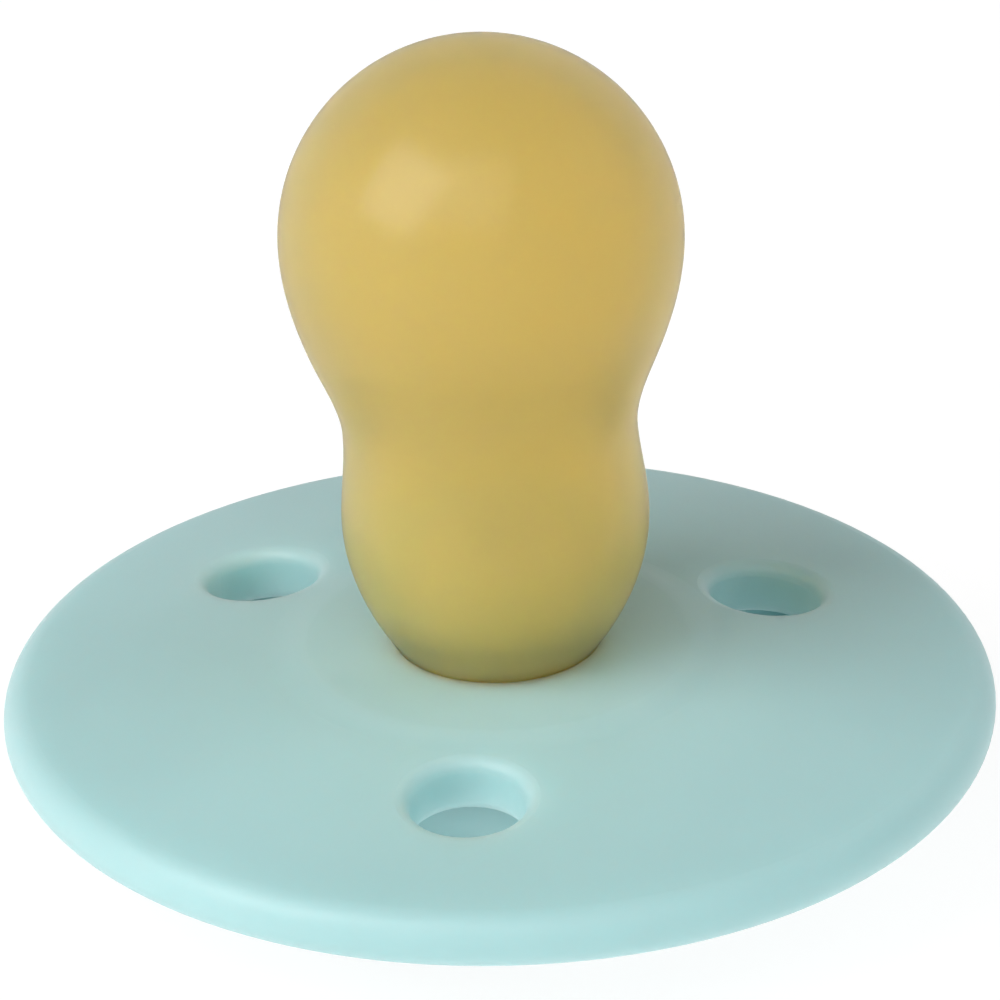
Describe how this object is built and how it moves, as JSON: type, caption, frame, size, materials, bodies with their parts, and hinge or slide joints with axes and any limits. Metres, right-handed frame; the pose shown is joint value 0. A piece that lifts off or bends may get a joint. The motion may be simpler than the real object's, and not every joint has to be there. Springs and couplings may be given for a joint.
{
  "type": "pacifier",
  "caption": "Round-shield baby pacifier with a hollow cherry-shaped latex teat, vent holes, a rear knob and a hinged ring handle.",
  "frame": {"origin": "centre of the knob's flat rear face, which the pacifier stands on", "axes": "+Z along the teat, out of the shield's front; +Y towards the folded ring handle; X along the ring's hinge pins"},
  "size_m": [0.044, 0.0467, 0.0367],
  "materials": {
    "shield": "satin moulded polypropylene, pale mint",
    "teat": "translucent natural rubber latex, amber",
    "plug": "moulded polypropylene, pale mint",
    "knob": "satin moulded polypropylene, pale mint",
    "ring": "satin moulded polypropylene, pale mint"
  },
  "bodies": {
    "guard": {"shield": "shield", "teat": "teat", "teat_plug": "plug", "knob": "knob"},
    "ring": {"ring_handle": "ring"}
  },
  "joints": [
    {"name": "ring_hinge", "type": "hinge", "parent": "guard", "child": "ring", "pos_m": [0, 0, 0.0022], "axis": [-1, 0, 0], "range_deg": [0, 179.5]}
  ]
}
